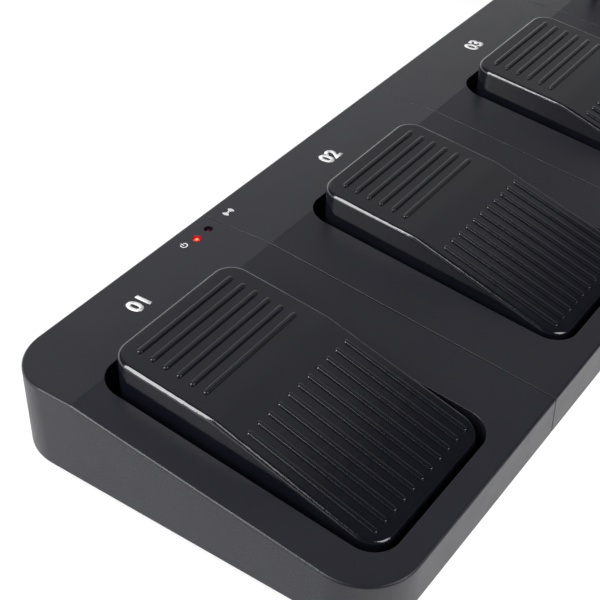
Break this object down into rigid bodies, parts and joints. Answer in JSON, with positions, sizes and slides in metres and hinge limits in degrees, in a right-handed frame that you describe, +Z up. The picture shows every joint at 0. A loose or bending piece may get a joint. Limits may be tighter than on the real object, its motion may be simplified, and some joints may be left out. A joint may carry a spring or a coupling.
{
  "type": "foot pedal switch",
  "caption": "Low wedge-shaped floor controller with a row of ribbed, spring-returned treadle pedals that press momentary switches, with status lamps and a wireless transmitter.",
  "frame": {"origin": "under the middle of the casing, on the surface that the feet stand on", "axes": "+X along the row of pedals, +Y to the back where the labels are, +Z up"},
  "size_m": [0.539, 0.18, 0.0516],
  "materials": {
    "case_plastic": "moulded black plastic, fine satin texture",
    "pedal_plastic": "moulded black plastic, polished",
    "black_steel": "powder coat, matt black",
    "bright_steel": "zinc plated",
    "spring_steel": "oiled wire",
    "rubber": "matt",
    "circuit_board": "green solder mask",
    "switch_plastic": "moulded",
    "button_plastic": "moulded",
    "knob_plastic": "moulded",
    "lead_sleeve": "soft black sleeve",
    "can_metal": "tinned",
    "copper_wire": "enamelled copper",
    "red_lamp": "diffused red, lit",
    "dark_lamp": "unlit",
    "battery_can": "plain printed can with no words"
  },
  "bodies": {
    "root": {"left_end_cover": "case_plastic", "middle_cover_1": "case_plastic", "middle_cover_2": "case_plastic", "right_end_cover": "case_plastic", "hinge_pin_1": "bright_steel", "pin_clips_1": "spring_steel", "return_spring_1": "spring_steel", "push_switch_1": "switch_plastic", "switch_board_1": "circuit_board", "pedal_lead_1": "lead_sleeve", "hinge_pin_2": "bright_steel", "pin_clips_2": "spring_steel", "return_spring_2": "spring_steel", "push_switch_2": "switch_plastic", "switch_board_2": "circuit_board", "pedal_lead_2": "lead_sleeve", "hinge_pin_3": "bright_steel", "pin_clips_3": "spring_steel", "return_spring_3": "spring_steel", "push_switch_3": "switch_plastic", "switch_board_3": "circuit_board", "pedal_lead_3": "lead_sleeve", "hinge_pin_4": "bright_steel", "pin_clips_4": "spring_steel", "return_spring_4": "spring_steel", "push_switch_4": "switch_plastic", "switch_board_4": "circuit_board", "pedal_lead_4": "lead_sleeve", "base_plate": "black_steel", "rear_feet": "rubber", "front_feet": "rubber", "stop_bumpers": "rubber", "cover_screws": "bright_steel", "switch_board_screws": "bright_steel", "main_board": "circuit_board", "main_board_screws": "bright_steel", "radio_module": "can_metal", "antenna_wire": "copper_wire", "power_lamp": "red_lamp", "transmit_lamp": "dark_lamp", "power_inlet": "switch_plastic", "power_switch": "can_metal", "battery_bay": "case_plastic", "battery": "battery_can", "battery_snap": "knob_plastic", "battery_lead": "lead_sleeve", "battery_door": "case_plastic", "battery_bay_screws": "bright_steel"},
    "pedal_body_1": {"pedal_1": "pedal_plastic"},
    "button_body_1": {"push_button_1": "button_plastic"},
    "pedal_body_2": {"pedal_2": "pedal_plastic"},
    "button_body_2": {"push_button_2": "button_plastic"},
    "pedal_body_3": {"pedal_3": "pedal_plastic"},
    "button_body_3": {"push_button_3": "button_plastic"},
    "pedal_body_4": {"pedal_4": "pedal_plastic"},
    "button_body_4": {"push_button_4": "button_plastic"},
    "knob_body": {"power_switch_knob": "knob_plastic"}
  },
  "joints": [
    {"name": "pedal_hinge_1", "type": "hinge", "parent": "root", "child": "pedal_body_1", "pos_m": [-0.21, -0.067, 0.015], "axis": [-1, 0, 0], "range_deg": [0, 4], "stiffness_Nm_per_rad": 7.8, "springref_deg": -5.39, "deforming": ["return_spring_1"]},
    {"name": "button_slide_1", "type": "slide", "parent": "root", "child": "button_body_1", "axis": [0, 0, -1], "range_m": [0, 0.0023], "stiffness_N_per_m": 200, "springref_m": -0.003},
    {"name": "pedal_hinge_2", "type": "hinge", "parent": "root", "child": "pedal_body_2", "pos_m": [-0.07, -0.067, 0.015], "axis": [-1, 0, 0], "range_deg": [0, 4], "stiffness_Nm_per_rad": 7.8, "springref_deg": -5.39, "deforming": ["return_spring_2"]},
    {"name": "button_slide_2", "type": "slide", "parent": "root", "child": "button_body_2", "axis": [0, 0, -1], "range_m": [0, 0.0023], "stiffness_N_per_m": 200, "springref_m": -0.003},
    {"name": "pedal_hinge_3", "type": "hinge", "parent": "root", "child": "pedal_body_3", "pos_m": [0.07, -0.067, 0.015], "axis": [-1, 0, 0], "range_deg": [0, 4], "stiffness_Nm_per_rad": 7.8, "springref_deg": -5.39, "deforming": ["return_spring_3"]},
    {"name": "button_slide_3", "type": "slide", "parent": "root", "child": "button_body_3", "axis": [0, 0, -1], "range_m": [0, 0.0023], "stiffness_N_per_m": 200, "springref_m": -0.003},
    {"name": "pedal_hinge_4", "type": "hinge", "parent": "root", "child": "pedal_body_4", "pos_m": [0.21, -0.067, 0.015], "axis": [-1, 0, 0], "range_deg": [0, 4], "stiffness_Nm_per_rad": 7.8, "springref_deg": -5.39, "deforming": ["return_spring_4"]},
    {"name": "button_slide_4", "type": "slide", "parent": "root", "child": "button_body_4", "axis": [0, 0, -1], "range_m": [0, 0.0023], "stiffness_N_per_m": 200, "springref_m": -0.003},
    {"name": "power_knob_slide", "type": "slide", "parent": "root", "child": "knob_body", "axis": [-1, 0, 0], "range_m": [0, 0.003]}
  ],
  "couplings": [
    {"joint": "button_slide_1", "follows": "pedal_hinge_1", "m_per_rad": 0.032},
    {"joint": "button_slide_2", "follows": "pedal_hinge_2", "m_per_rad": 0.032},
    {"joint": "button_slide_3", "follows": "pedal_hinge_3", "m_per_rad": 0.032},
    {"joint": "button_slide_4", "follows": "pedal_hinge_4", "m_per_rad": 0.032}
  ]
}
